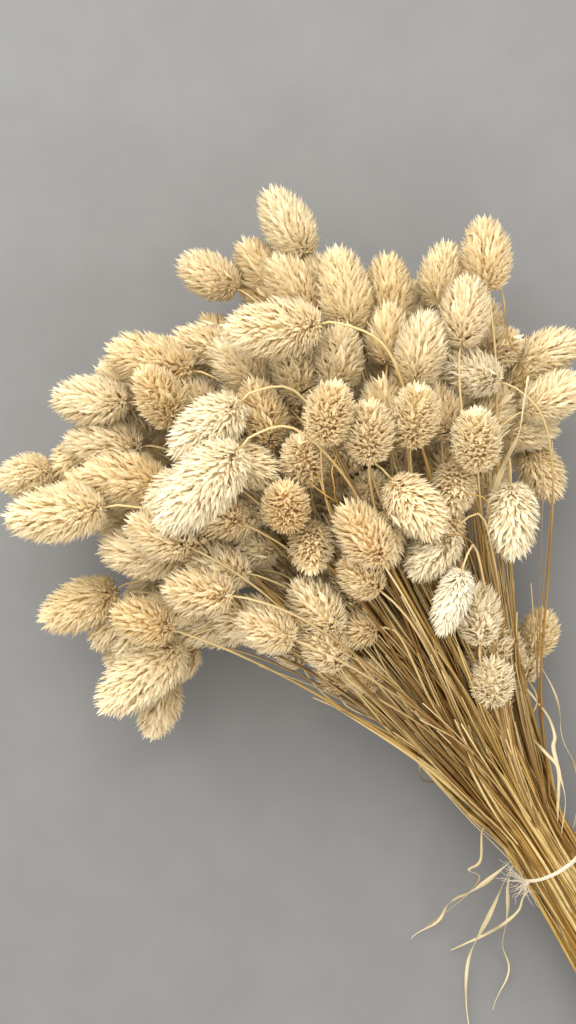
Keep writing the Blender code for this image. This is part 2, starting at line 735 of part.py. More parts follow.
def main():
    clear_scene()
    straw, cord, leaf = (
        finish("bleached_straw", STRAW, 0.75),
        finish("pale_cord", PALE_CORD, 0.6),
        finish("dry_leaf", LEAF_STRAW, 0.7),
    )
    placed = placed_heads()
    heads = placed + crown_heads(placed, 2 * PAIRS - len(placed), random.Random(SEED))
    sites = handle_sites()
    given = share_out(heads, sites)
    shown = {tuple(base) for base, _ in placed}
    bunch = Bunch(given, sites)
    bunch.full_heads = {i for i, (base, _) in enumerate(given) if tuple(base) in shown}
    bunch.settle()
    for pair, site in enumerate(sites):
        add_spray(f"spray_{pair + 1:02d}", site, bunch, pair, straw)
    add_tie("tie", cord)
    for name in LEAF_ROOTS:
        add_leaf(name, leaf)
    stand_over_origin()


main()
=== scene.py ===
"""Looks of a tied bunch of bleached phalaris grass that lies on its side.

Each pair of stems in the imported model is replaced, in place, by two smooth stems with a bristly seed
head each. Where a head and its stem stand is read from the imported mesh, so nothing here repeats the
bunch's layout.
"""
import math
import bmesh
import bpy
import numpy as np
from mathutils import Matrix, Vector


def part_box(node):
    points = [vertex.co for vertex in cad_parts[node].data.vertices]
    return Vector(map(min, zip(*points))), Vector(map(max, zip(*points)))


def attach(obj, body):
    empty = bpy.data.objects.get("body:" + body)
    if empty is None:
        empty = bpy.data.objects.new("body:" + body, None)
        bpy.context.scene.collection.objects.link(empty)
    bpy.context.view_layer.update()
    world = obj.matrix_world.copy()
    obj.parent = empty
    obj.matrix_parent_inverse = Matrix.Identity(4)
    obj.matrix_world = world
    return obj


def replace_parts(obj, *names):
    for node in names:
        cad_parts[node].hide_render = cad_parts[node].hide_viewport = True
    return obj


MM = 0.001
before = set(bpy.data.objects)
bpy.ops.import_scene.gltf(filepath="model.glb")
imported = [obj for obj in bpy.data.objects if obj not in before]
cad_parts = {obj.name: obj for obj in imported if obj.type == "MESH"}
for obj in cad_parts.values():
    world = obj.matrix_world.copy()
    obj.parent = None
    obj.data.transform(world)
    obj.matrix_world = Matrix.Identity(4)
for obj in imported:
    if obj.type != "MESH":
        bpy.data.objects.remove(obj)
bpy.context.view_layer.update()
draw = np.random.default_rng(11)

# Where the bunch's parts stand, along +Y from the cut ends to the heads
FORK_AT = -130 * MM
TIE_MIDDLE = np.array([9.6, -142.0, 46.0]) * MM
HANDLE_RISE = 0.105
TOUCHING = 0.01 * MM
TIP = 0.03 * MM

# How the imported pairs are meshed: the edges at a head's far end and at a spikelet's tip, the sides of
# a stem, and the most rows of spikelets that a small head has
POLE_EDGES = 12
TIP_EDGES = 4
STEM_SIDES = 3
SMALL_ROWS = 4

# Seed heads. A kind is a length and a count of husks; the first kinds are for the full-grown heads
HEAD_KINDS = ((56 * MM, 1180), (50 * MM, 1060), (44 * MM, 920), (38 * MM, 570), (38 * MM, 550))
FULL_KINDS = 3
LAST_ROW = 0.94
WIDEST = 0.40
HUSK_LENGTH = 9.6 * MM
HUSK_WIDTH = 0.26
HUSK_DEPTH = 0.075
BELLY = 0.52
TIP_FLARE = 0.26
KEEL_ANGLE = math.radians(85)
FULLNESS = 1.06
GOLDEN_TURN = math.pi * (3 - math.sqrt(5))

# How far the husks lean out, in degrees, at shares of a head's length
LEAN_SHARES = 0, 0.1, 0.45, 0.85, 1
LEANS = 98, 66, 36, 22, 4

# How husks differ: their roll in degrees, and the least and greatest shares of their length, of their
# stand from the head's middle line and of their width
HUSK_ROLL = 22
HUSK_SIZES, HUSK_STANDS, HUSK_WIDTHS = (0.8, 1.15), (0.86, 1.13), (0.75, 1.1)

# The core's half width, half length and middle, as shares of the head's, and how golden it is
CORE_SHARE, CORE_REACH, CORE_MIDDLE = 0.6, 0.31, 0.42
CORE_TONE = 0.36

# White heads: the middles of the heads that are bleached most, and the one that is slim
WHITE_HEADS = np.array([
    (-37, 192, 147), (-57, 165, 161), (22, 48, 125), (26, 71, 119), (87, 60, 101), (115, 150, 113),
]) * MM
SLIM_HEAD = np.array((22, 48, 125)) * MM
WHITE_REACH = 16 * MM
WHITENESS = 0.55
SLIMNESS = 0.75

# Short stems whose heads sit low in the fan, or deep in the crown: each head's base and tip, in mm.
# A head whose base is higher than FRESH_ABOVE is as pale as the white ones
LOW_HEADS = (
    ((37, 8, 109), (53, 41, 117)),
    ((26, -28, 94), (38, -3, 112)),
    ((-28, 14, 88), (-37, 35, 93)),
    ((14, 115, 54), (-5, 140, 66)),
    ((49, 111, 57), (79, 121, 66)),
    ((-36, 85, 45), (-42, 112, 55)),
    ((24, 92, 50), (34, 120, 62)),
    ((42, 103, 84), (53, 134, 97)),
    ((12, 112, 82), (17, 144, 94)),
    ((64, 158, 74), (83, 186, 86)),
    ((90, 124, 79), (111, 149, 91)),
    ((30, 128, 80), (45, 158, 94)),
)
FRESH_ABOVE = 92

# Stems. LINE_STEPS is how many steps a smooth line takes from one of its points to the next
LINE_STEPS = 10
STEM_RADIUS = 1.05 * MM
NECK_RADIUS = 0.6 * MM
RING_SPACING = 18 * MM
NECK_SPACING = 6.5 * MM
JOINT_REACH = 1.6 * MM
JOINT_SWELL = 0.3
NECK_FROM = 0.55
INTO_HEAD = 1 * MM
PAIR_OFFSET = 1.5
FINE_STRANDS, FINE_GROUPS = 720, 2
SHEATHS = 110
FINE_RINGS = 13
FINE_GATE = 0.45
YOUNG_STEMS = 50
YOUNG_TRIES = 10
YOUNG_GROUPS = 4
YOUNG_LENGTH = 36 * MM
YOUNG_GAP = 17 * MM
YOUNG_ABOVE = 16 * MM
YOUNG_OPENNESS = 62 * MM
YOUNG_RINGS = 6

# Thin strands that stray from the bunch, as points in mm: over the crown, past its right side and
# under its left
STRAYS = (
    ((-3, 142, 140), (2, 128, 150), (5, 122, 147), (8, 113, 138), (7, 98, 122), (4, 82, 104)),
    ((5, 142, 138), (4, 137, 148), (2, 129, 149), (1, 116, 138), (-2, 96, 116)),
    (
        (22, 145, 140), (18, 142, 152), (12, 137, 154), (9, 130, 152),
        (6, 123, 146), (5, 111, 132), (4, 91, 112),
    ),
    (
        (64, 96, 122), (71, 87, 132), (78, 80, 133), (79, 72, 126),
        (75, 67, 118), (69, 58, 108), (60, 35, 92), (49, -2, 74),
    ),
    (
        (44, 80, 130), (50, 73, 138), (54, 71, 138), (59, 64, 132),
        (61, 54, 122), (59, 36, 104), (54, 10, 84),
    ),
    ((49, 76, 132), (45, 67, 137), (42, 64, 134), (38, 60, 128)),
    (
        (138, 118, 88), (144, 139, 98), (142, 147, 104),
        (147, 161, 104), (152, 172, 102), (155, 180, 98),
    ),
    ((-84, 98, 56), (-77, 85, 66), (-74, 76, 64), (-68, 66, 58), (-59, 51, 50), (-49, 31, 44)),
    ((-96, 74, 34), (-77, 69, 40), (-66, 52, 44), (-52, 31, 46), (-44, 13, 48), (-36, -7, 50)),
    ((-88, 138, 98), (-77, 131, 102), (-67, 113, 106), (-58, 98, 103), (-50, 78, 92), (-40, 48, 78)),
    ((-15, -90, 44), (-19, -79, 42), (-26, -68, 40), (-34, -62, 38), (-34, -55, 40), (-27, -45, 44)),
)
STRAY_RADIUS = 0.55 * MM
STRAY_RINGS = 28

# The band: fibres side by side in two layers, a knot at its left and two frayed ends, each one way
BAND_FIBRES, BAND_LANES = 11, 6
BAND_RADIUS = 0.36 * MM
BAND_STEPS, KNOT_STEPS, FRAY_STEPS = 72, 24, 10
KNOT_TURN = math.radians(148)
KNOT_LOOPS = 5
KNOT_RADIUS = 0.4 * MM
FRAYED_ENDS = (-0.5, 0.85, 0.2), (-0.75, -0.5, -0.3)
FRAYS = 40

# Loose dry strips: half a strip's width and its points, all in mm
LOOSE_STRIPS = (
    (1.9, (
        (136, 126, 130), (126, 115, 135), (114, 101, 135), (103, 93, 131),
        (92, 84, 124), (86, 74, 112), (78, 50, 94),
    )),
    (1.0, (
        (-10, -154, 42), (-18, -157, 40), (-25, -165, 34),
        (-36, -170, 26), (-54, -175, 12), (-78, -176, 2),
    )),
    (0.9, (
        (-12, -112, 46), (-18, -105, 44), (-30, -124, 38), (-40, -126, 34),
        (-36, -136, 28), (-54, -146, 16), (-84, -154, 2),
    )),
    (1.3, (
        (50, -40, 62), (52, -59, 70), (49, -72, 71), (45, -77, 69),
        (41, -90, 68), (35, -109, 68), (22, -128, 62),
    )),
    (1.2, (
        (36, -66, 62), (39, -78, 67), (41, -88, 69), (37, -98, 68), (29, -110, 66), (24, -120, 62),
    )),
)

# The blades of strips, sheaths and leaves. A packed leaf's blade has a share of the solid's width, and
# waves aside
BLADE_THICKNESS = 0.22 * MM
BLADE_FOLD = 0.3
BLADE_STEPS, SHEATH_STEPS = 40, 18
STRIP_MARKS, SHEATH_MARKS = 14, 8
BLADE_SHARE = 0.44
BLADE_WAVE = 3.4 * MM

# Colours of the stems, of the strips that peel from them and of the dry leaves:
# the palest, the golden, the dark one, which on the stems also paints the shade in the fan, and the
# upper end's
STRAW_COLOURS = (
    (0.54, 0.35, 0.09, 1), (0.34, 0.18, 0.03, 1), (0.16, 0.075, 0.012, 1), (0.84, 0.68, 0.37, 1),
)
SHEATH_COLOURS = (
    (0.72, 0.56, 0.26, 1), (0.52, 0.37, 0.12, 1), (0.27, 0.16, 0.04, 1), (0.76, 0.61, 0.31, 1),
)
LEAF_COLOURS = (
    (0.76, 0.66, 0.43, 1), (0.58, 0.45, 0.22, 1), (0.33, 0.22, 0.08, 1), (0.80, 0.69, 0.44, 1),
)

# Streaks round a stem and across a blade, and how much darker the stems are in the fan, partly with
# painted shade
STEM_STREAKS, BLADE_STREAKS = 7, 26
FAN_SHADE = 0.85

# The photograph's view: straight down from a point over the bunch
EYE = Vector((-20.4, 130.0, 851.0)) * MM
PICTURE_RIGHT = Vector((0.857, -0.515, 0.0)).normalized()
PICTURE_UP = Vector((0.515, 0.857, 0.0)).normalized()
FOCAL_PIXELS = 1275
PICTURE_HEIGHT = 1024
SENSOR = 36.0
NEAREST = 0.01

# The stage: two lights that aim at one place, from the picture's upper left and from across, and the
# light from all round. Aside, height and size are in metres and power is in watts
LIGHT_AIM = Vector((-50, 110, 60)) * MM
LIGHT_WAY = (PICTURE_UP - 0.4 * PICTURE_RIGHT).normalized()
KEY_LIGHT = {"aside": 0.82, "height": 1.0, "size": 1.3, "power": 18.5, "colour": (1.0, 0.95, 0.85)}
FILL_LIGHT = {"aside": -1.1, "height": 0.9, "size": 1.4, "power": 3, "colour": (1.0, 0.98, 0.95)}
ROOM_COLOUR, ROOM_STRENGTH = (1.0, 0.925, 0.81, 1), 1.06
FLOOR_SIZE = 30
FLOOR_COLOURS = (0.21, 0.219, 0.237, 1), (0.225, 0.235, 0.254, 1)


class Wire:
    """A socket's value in a material, on which Python's operators add Math nodes."""

    def __init__(self, finish, socket):
        self.finish, self.socket = finish, socket

    def math(self, operation, *values):
        return self.finish.add("ShaderNodeMath", {"operation": operation}, dict(enumerate(values)))

    def __add__(self, other):
        return self.math("ADD", self, other)

    def __radd__(self, other):
        return self.math("ADD", other, self)

    def __sub__(self, other):
        return self.math("SUBTRACT", self, other)

    def __rsub__(self, other):
        return self.math("SUBTRACT", other, self)

    def __mul__(self, other):
        return self.math("MULTIPLY", self, other)

    def __rmul__(self, other):
        return self.math("MULTIPLY", other, self)

    def between(self, low, high):
        """0 below low, 1 above high and smooth in between."""
        settings = {"interpolation_type": "SMOOTHSTEP"}
        values = {"Value": self, "From Min": low, "From Max": high}
        return self.finish.add("ShaderNodeMapRange", settings, values)


class Finish:
    """A material whose nodes are added one call at a time."""

    def __init__(self, name, roughness):
        self.material = bpy.data.materials.new(name)
        self.material.use_nodes = True
        self.tree = self.material.node_tree
        self.shader = self.tree.nodes["Principled BSDF"]
        self.shader.inputs["Roughness"].default_value = roughness

    def add(self, kind, settings=None, values=None, out=0):
        """A node of a kind, with its settings made first and then the values or links of its sockets."""
        node = self.tree.nodes.new(kind)
        for key, value in (settings or {}).items():
            setattr(node, key, value)
        for socket, value in (values or {}).items():
            self.feed(node.inputs[socket], value)
        return Wire(self, node.outputs[out])

    def feed(self, socket, value):
        if isinstance(value, Wire):
            self.tree.links.new(value.socket, socket)
        else:
            socket.default_value = value

    def number(self, attribute):
        """A piece's own number at each vertex."""
        return self.add("ShaderNodeAttribute", {"attribute_name": attribute}, out=2)

    def place(self):
        return self.add("ShaderNodeTexCoord", out=3)

    def along_and_round(self):
        """The two numbers of a strand's or blade's own map: along it, and round or across it."""
        found = self.add("ShaderNodeUVMap", {"uv_map": "UVMap"})
        return [self.add("ShaderNodeSeparateXYZ", {}, {0: found}, out=side) for side in (0, 1)]

    def vector(self, *numbers):
        return self.add("ShaderNodeCombineXYZ", {}, dict(enumerate(numbers)))

    def noise(self, vector, scale, detail=3.0, roughness=0.5):
        values = {"Vector": vector, "Scale": scale, "Detail": detail, "Roughness": roughness}
        return self.add("ShaderNodeTexNoise", {}, values)

    def mix(self, share, first, second):
        """One colour towards another; 0, 6, 7 and 2 are the Mix node's sockets for colours."""
        return self.add("ShaderNodeMix", {"data_type": "RGBA"}, {0: share, 6: first, 7: second}, out=2)

    def paint(self, colour):
        self.feed(self.shader.inputs["Base Color"], colour)

    def bump(self, height, strength, distance):
        values = {"Height": height, "Strength": strength, "Distance": distance}
        self.feed(self.shader.inputs["Normal"], self.add("ShaderNodeBump", {}, values))


def husk_finish():
    """Papery husks, golden where they are rooted and near white at their thin tips and edges."""
    look = Finish("husk", 0.6)
    reach, edge, tint = look.number("reach"), look.number("edge"), look.number("tint")
    age, bleach = look.number("age"), look.number("bleach")
    root, middle = (0.87, 0.50, 0.18, 1), (0.97, 0.695, 0.315, 1)
    cream, pale, white = (0.985, 0.81, 0.485, 1), (0.99, 0.89, 0.655, 1), (0.99, 0.925, 0.765, 1)
    brown, amber = (0.64, 0.42, 0.15, 1), (0.90, 0.52, 0.17, 1)
    fleck = look.noise(look.place(), 500)
    colour = look.mix(reach.between(0.1, 0.42), root, middle)
    colour = look.mix((reach + 0.3 * fleck + 0.3 * tint - 0.3 * age).between(0.16, 0.58), colour, cream)
    colour = look.mix((reach + 0.3 * edge + 0.2 * tint - 0.3 * age).between(0.55, 1.25), colour, pale)
    colour = look.mix((reach + 0.5).between(0.4, 1.0) * bleach, colour, white)
    inner = 1 - reach.between(0.45, 0.95)
    colour = look.mix(0.22 * age * inner, colour, brown)
    colour = look.mix(0.35 * (1 - bleach) * inner * fleck.between(0.56, 0.7), colour, amber)
    look.paint(colour)
    look.bump(look.noise(look.place(), 1400), 0.2, 0.0003)
    look.shader.inputs["Subsurface Weight"].default_value = 0.2
    look.shader.inputs["Subsurface Radius"].default_value = (1.0, 0.97, 0.94)
    look.shader.inputs["Subsurface Scale"].default_value = 0.0015
    look.shader.inputs["Sheen Weight"].default_value = 0.3
    look.shader.inputs["Sheen Roughness"].default_value = 0.4
    look.shader.inputs["Sheen Tint"].default_value = (1.0, 0.93, 0.78, 1)
    return look.material


def straw_finish(name, colours, streaks, top=0.0):
    """Stems and blades: fine streaks along them and a tone of their own.

    With a top, they are darker in the fan, partly a darker tone and partly painted shade, but less so at
    its right, and paler towards the heads.
    """
    look = Finish(name, 0.48)
    pale, gold, shade, upper = colours
    tint, joint = look.number("tint"), look.number("joint")
    along, round_it = look.along_and_round()
    streak = look.noise(look.vector(5 * along, streaks * round_it, 40 * tint), 1.0, 4.0)
    cloud = look.noise(look.place(), 60)
    colour = look.mix((0.6 * streak + 0.6 * tint).between(0.35, 0.8), gold, pale)
    colour = look.mix(0.45 * cloud.between(0.45, 0.75), colour, shade)
    # Painted shade: the stems are darker in the fan, where the crown above shades them, and less so at
    # its right, where more light falls; part of it is a darker golden tone of the stems
    right_side = look.add("ShaderNodeSeparateXYZ", {}, {0: look.place()}).between(30 * MM, 75 * MM)
    fan_tone_and_painted_shade = top * along.between(0.2, 0.4) * (0.85 - 0.68 * tint.between(0.55, 0.95))
    colour = look.mix(fan_tone_and_painted_shade * (1 - 0.75 * right_side), colour, shade)
    colour = look.mix(top * along.between(0.66, 1.0), colour, upper)
    colour = look.mix(0.6 * joint, colour, shade)
    look.paint(colour)
    look.bump(streak, 0.35, 0.0003)
    return look.material


def fibre_finish():
    """The pale band: off-white fibres with a little tan in their twist."""
    look = Finish("pale_fibre", 0.75)
    tint = look.number("tint")
    along, round_it = look.along_and_round()
    strand = look.noise(look.vector(60 * along, 5 * round_it, 30 * tint), 1.0, 4.0)
    colour = look.mix(strand.between(0.3, 0.7), (0.55, 0.46, 0.34, 1), (0.82, 0.75, 0.64, 1))
    look.paint(look.mix(0.4 * tint, colour, (0.90, 0.86, 0.78, 1)))
    look.bump(strand, 0.4, 0.0002)
    return look.material


def floor_finish():
    look = Finish("plain_floor", 0.9)
    grain = look.noise(look.place(), 14, 6.0, 0.6)
    look.paint(look.mix(grain.between(0.35, 0.65), *FLOOR_COLOURS))
    return look.material


def note(mesh, name, values):
    """Gives a mesh a number at each vertex, for its finish to read."""
    values = np.broadcast_to(np.asarray(values, np.float32), len(mesh.vertices))
    layer = mesh.attributes.get(name) or mesh.attributes.new(name, "FLOAT", "POINT")
    layer.data.foreach_set("value", np.ascontiguousarray(values))


def places(mesh):
    found = np.empty(len(mesh.vertices) * 3, np.float32)
    mesh.vertices.foreach_get("co", found)
    return found.reshape(-1, 3).astype(float)


def place_all(mesh, found):
    mesh.vertices.foreach_set("co", found.astype(np.float32).ravel())
    mesh.update()


def only(piece, wanted):
    """Selects, in edit mode, the vertices whose place passes a test, and nothing else."""
    bpy.ops.mesh.select_all(action="DESELECT")
    mesh = bmesh.from_edit_mesh(piece.data)
    for vertex in mesh.verts:
        vertex.select_set(wanted(vertex.co))
    mesh.select_flush_mode()
    bmesh.update_edit_mesh(piece.data)


def alone(piece):
    """Makes a piece the only one selected."""
    bpy.ops.object.select_all(action="DESELECT")
    piece.select_set(True)
    bpy.context.view_layer.objects.active = piece


def copied(piece, name):
    twin = bpy.data.objects.new(name, piece.data.copy())
    bpy.context.scene.collection.objects.link(twin)
    return twin


def joined(name, pieces):
    """Several pieces as one."""
    bpy.ops.object.select_all(action="DESELECT")
    for piece in pieces:
        piece.select_set(True)
    bpy.context.view_layer.objects.active = pieces[0]
    bpy.ops.object.join()
    pieces[0].name = name
    return pieces[0]


def closed_up(piece):
    """Merges what touches, turns every face outwards and smooths the shading."""
    alone(piece)
    bpy.ops.object.mode_set(mode="EDIT")
    bpy.ops.mesh.select_all(action="SELECT")
    bpy.ops.mesh.remove_doubles(threshold=TOUCHING)
    bpy.ops.mesh.normals_make_consistent(inside=False)
    bpy.ops.object.mode_set(mode="OBJECT")
    bpy.ops.object.shade_smooth()
    return piece


def model_husk(look):
    """One papery husk along +Z, a unit long: keeled outside, on +X, and pointed at both ends."""
    bpy.ops.object.select_all(action="DESELECT")
    bpy.ops.mesh.primitive_cone_add(
        vertices=3, radius1=0, radius2=1, depth=BELLY, end_fill_type="NGON",
        location=(0, 0, BELLY / 2), rotation=(0, 0, -math.pi / 2),
    )
    husk = bpy.context.object
    bpy.ops.object.transform_apply(location=True, rotation=True)
    bpy.ops.object.mode_set(mode="EDIT")
    only(husk, lambda place: place.z > BELLY / 2)
    bpy.ops.transform.resize(value=(HUSK_DEPTH, HUSK_WIDTH / math.sqrt(3), 1), center_override=(0, 0, 0))
    bpy.ops.mesh.extrude_region_move(TRANSFORM_OT_translate={"value": (0, 0, 1 - BELLY)})
    bpy.ops.mesh.merge(type="CENTER")
    bpy.ops.object.mode_set(mode="OBJECT")
    bpy.ops.object.shade_smooth_by_angle(angle=KEEL_ANGLE)
    husk.data.materials.append(look)
    found = places(husk.data)
    place_all(husk.data, found + np.outer(TIP_FLARE * found[:, 2] ** 2, (1, 0, 0)))
    note(husk.data, "reach", found[:, 2])
    note(husk.data, "edge", np.abs(found[:, 1]) / np.abs(found[:, 1]).max())
    return husk


def head_profile(share):
    """Half width of a head at a share of its length, against its greatest."""
    reach = np.where(share < WIDEST, 0.47, 0.58)
    return np.sqrt(np.clip(1 - ((share - WIDEST) / reach) ** 2, 0.03, 1))


def head_width(length):
    return 12 * MM + 0.3 * length


def model_head(name, length, count, husk, look):
    """A seed head along +Z, rooted at the origin: husks in a golden spiral round a core."""
    half_width = head_width(length) / 2
    bpy.ops.object.select_all(action="DESELECT")
    bpy.ops.mesh.primitive_uv_sphere_add(segments=8, ring_count=6, radius=1, location=(0, 0, 0))
    core = bpy.context.object
    core.data.transform(Matrix.Translation((0, 0, CORE_MIDDLE * length)) @ Matrix.Diagonal(
        (half_width * CORE_SHARE, half_width * CORE_SHARE, CORE_REACH * length, 1)
    ))
    core.data.materials.append(look)
    note(core.data, "reach", CORE_TONE)
    parts = [core]
    fine = np.linspace(0, 1, 200)
    crowd = np.cumsum(head_profile(fine) + 0.15)
    shares = np.interp((np.arange(count) + 0.5) / count, crowd / crowd[-1], fine)
    for number, share in enumerate(shares):
        turn = number * GOLDEN_TURN + draw.normal(0, 0.12)
        out = Vector((math.cos(turn), math.sin(turn), 0))
        lean = math.radians(np.interp(share, LEAN_SHARES, LEANS) + draw.normal(0, 7 + 6 * share))
        way = Vector((0, 0, math.cos(lean))) + out * math.sin(lean)
        size = HUSK_LENGTH * draw.uniform(*HUSK_SIZES) * np.interp(share, (0, 0.4, 1), (0.85, 1, 1.18))
        stand = half_width * FULLNESS * float(head_profile(share)) * draw.uniform(*HUSK_STANDS)
        root = out * stand + Vector((0, 0, share * length)) - way * size
        level = Vector((-out.y, out.x, 0))
        thick = level.cross(way)
        roll = math.radians(draw.normal(0, HUSK_ROLL))
        level, thick = (
            level * math.cos(roll) + thick * math.sin(roll),
            thick * math.cos(roll) - level * math.sin(roll),
        )
        wide = size * draw.uniform(*HUSK_WIDTHS)
        matrix = Matrix((thick * size, level * wide, way * size)).transposed().to_4x4()
        matrix.translation = root
        part = copied(husk, "husk")
        part.data.transform(matrix)
        note(part.data, "tint", draw.uniform())
        parts.append(part)
    return joined(name, parts)


def ring_after(front, known, on_head):
    """The next ring of vertices past a ring.

    On a head, the tips of spikelets have four edges and are left out.
    """
    touching = {edge.other_vert(vertex) for vertex in front for edge in vertex.link_edges} - known
    known |= touching
    return [vertex for vertex in touching if not (on_head and len(vertex.link_edges) == TIP_EDGES)]


def middle_of(ring):
    return np.mean([vertex.co[:] for vertex in ring], axis=0)


def merged(node):
    """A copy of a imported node's mesh, with its loose triangles merged."""
    mesh = bmesh.new()
    mesh.from_mesh(node.data)
    bmesh.ops.remove_doubles(mesh, verts=mesh.verts, dist=TOUCHING)
    return mesh


def read_spray(name):
    """The two stems of a pair: the points each runs through from its cut end, and its head's far end."""
    mesh = merged(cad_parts[name])
    found, fork = [], set()
    for pole in mesh.verts:
        if len(pole.link_edges) != POLE_EDGES or pole.co.y < FORK_AT + 30 * MM:
            continue
        known, ring, rings = {pole}, [pole], []
        while ring[0].co.y > FORK_AT + 5 * MM:
            ring = ring_after(ring, known, on_head=len(ring) != STEM_SIDES)
            rings.append(ring)
        rows = next(i for i, ring in enumerate(rings) if len(ring) == STEM_SIDES)
        line = [middle_of(ring) for ring in rings[rows:]][::-1]
        found.append({"line": line, "pole": np.array(pole.co), "full": rows > SMALL_ROWS})
        fork |= set(rings[-1])
    cut = sorted(mesh.verts, key=lambda vertex: vertex.co.y)[:4]
    for stem in found:
        middle = middle_of(fork)
        aside = (stem["line"][0] - middle) * PAIR_OFFSET
        stem["line"] = [middle_of(cut) + aside, middle + aside, *stem["line"][1:]]
        stem["name"] = name
    mesh.free()
    return found


class Line:
    """A smooth line through points, measured along its length."""

    def __init__(self, points):
        points = np.array(points, float)
        points = np.vstack([2 * points[0] - points[1], points, 2 * points[-1] - points[-2]])
        t = np.linspace(0, 1, LINE_STEPS, endpoint=False)[:, None]
        runs = []
        for a, b, c, d in zip(points, points[1:], points[2:], points[3:]):
            bend, twist = 2 * a - 5 * b + 4 * c - d, 3 * b - a - 3 * c + d
            runs.append(0.5 * (2 * b + (c - a) * t + bend * t ** 2 + twist * t ** 3))
        self.dense = np.vstack([*runs, points[-2]])
        spans = np.linalg.norm(np.diff(self.dense, axis=0), axis=1)
        self.marks = np.concatenate([[0], np.cumsum(spans)])
        self.length = self.marks[-1]

    def at(self, distances):
        found = [np.interp(distances, self.marks, self.dense[:, axis]) for axis in range(3)]
        return np.stack(found, axis=-1)

    def at_shares(self, shares):
        return self.at(shares * self.length)


def sway(count, size, bends):
    """A slow random sideways sway along a strand."""
    shares = np.linspace(0, 1, count)
    knots = np.linspace(0, 1, bends + 2)
    found = [np.interp(shares, knots, draw.normal(0, size, bends + 2)) for _ in range(3)]
    return np.stack(found, axis=-1)


def tubes(name, strands, look, resolution=1, loops=False):
    """Round strands as one closed piece. A strand is its places, its radii, its tone and its joints."""
    bpy.ops.object.select_all(action="DESELECT")
    bpy.ops.curve.primitive_nurbs_path_add()
    piece = bpy.context.object
    piece.name = name
    curve = piece.data
    curve.splines.clear()
    curve.bevel_depth = 1.0
    curve.bevel_resolution = resolution
    tones, joints = [], []
    for strand in strands:
        run, radii = strand["places"], strand["radii"]
        joint = strand.get("joints", np.zeros(len(run)))
        if not loops:
            first, last = (
                here + (here - there) * (TIP / np.linalg.norm(here - there))
                for here, there in (run[:2], run[:-3:-1])
            )
            run = np.vstack([first, run, last])
            radii, joint = np.pad(radii, 1), np.pad(joint, 1)
        spline = curve.splines.new("POLY")
        spline.points.add(len(run) - 1)
        spline.points.foreach_set("co", np.pad(run, ((0, 0), (0, 1)), constant_values=1).ravel())
        spline.points.foreach_set("radius", radii)
        spline.use_cyclic_u = loops
        tones.append(np.full(len(run), strand["tint"]))
        joints.append(joint)
    bpy.ops.object.convert(target="MESH")
    sides = 4 + 2 * resolution
    note(piece.data, "tint", np.repeat(np.concatenate(tones), sides))
    note(piece.data, "joint", np.repeat(np.concatenate(joints), sides))
    piece.data.materials.append(look)
    return closed_up(piece)


def stem_strand(line):
    """A smooth stem that thins towards its head, with a joint or two where a leaf once sat."""
    joints = [line.length * share for share in (draw.uniform(0.34, 0.5), draw.uniform(0.58, 0.75))]
    offsets = np.array([-2, -1, 0, 1, 2]) * JOINT_REACH * 0.6
    neck = NECK_FROM * line.length
    marks = [
        np.arange(0, neck, RING_SPACING),
        np.arange(neck, line.length - 3 * MM, NECK_SPACING),
        [line.length + INTO_HEAD],
        *[joint + offsets for joint in joints],
    ]
    marks = np.sort(np.concatenate(marks))
    swell = sum(np.exp(-((marks - joint) / JOINT_REACH) ** 2) for joint in joints)
    thick = draw.uniform(0.85, 1.1)
    sizes = STEM_RADIUS, STEM_RADIUS, 1.4 * NECK_RADIUS, NECK_RADIUS
    radii = np.interp(marks / line.length, (0, 0.35, 0.8, 1), sizes) * thick * (1 + JOINT_SWELL * swell)
    run = line.at(marks) + sway(len(marks), 0.25 * MM, 9)
    return {"places": run, "radii": radii, "tint": draw.uniform(), "joints": swell}


def head_on(stem, kinds, number):
    """A copy of a head of about the right length, on the end of a stem."""
    base, pole = Vector(stem["line"][-1]), Vector(stem["pole"])
    way = (pole - base) / LAST_ROW
    length = way.length
    middle = base + way / 2
    choices = kinds[:FULL_KINDS] if stem["full"] else kinds[FULL_KINDS:]
    kind = min(choices, key=lambda kind: (abs(kind["length"] - length), draw.uniform()))
    head = copied(kind["piece"], f"head_{number:03d}")
    way.normalize()
    level = way.orthogonal().normalized()
    turn = Matrix.Rotation(draw.uniform(0, math.tau), 3, way)
    level = turn @ level
    wide, long = head_width(length) / head_width(kind["length"]), length / kind["length"]
    slim = np.linalg.norm(SLIM_HEAD - np.array(middle)) < WHITE_REACH
    if slim:
        wide *= SLIMNESS
    matrix = Matrix((level * wide, way.cross(level) * wide, way * long)).transposed().to_4x4()
    matrix.translation = base
    head.data.transform(matrix)
    white = np.linalg.norm(WHITE_HEADS - np.array(middle), axis=1).min() < WHITE_REACH
    bleach, age = draw.uniform(0.0, 0.4), draw.uniform() ** 2
    if white or stem.get("fresh"):
        bleach, age = WHITENESS, 0.0
    note(head.data, "bleach", 1.0 if slim else bleach)
    note(head.data, "age", age)
    return head


def grass_piece(name, own, kinds, look):
    """Stems with their heads, as one piece that lies on the floor and never under it."""
    pieces = [tubes("stems", [stem_strand(stem["path"]) for stem in own], look)]
    pieces += [head_on(stem, kinds, number) for number, stem in enumerate(own)]
    piece = joined(name, pieces)
    rest_on_floor(piece)
    return piece


def young_place(stems):
    """A place between three neighbouring heads, a little below them, and the stems of those heads."""
    while True:
        first = stems[draw.integers(len(stems))]
        near = sorted(stems, key=lambda stem: np.linalg.norm(stem["middle"] - first["middle"]))
        chosen = [first, *(near[i] for i in draw.choice(np.arange(1, 7), 2, replace=False))]
        middle = sum(share * stem["middle"] for share, stem in zip(draw.dirichlet((2, 2, 2)), chosen))
        middle = middle + np.array([0, -8 * MM, draw.uniform(-22, -2) * MM])
        apart = min(np.linalg.norm(stem["middle"] - middle) for stem in stems)
        if apart > YOUNG_GAP and middle[2] > YOUNG_ABOVE:
            return middle, chosen


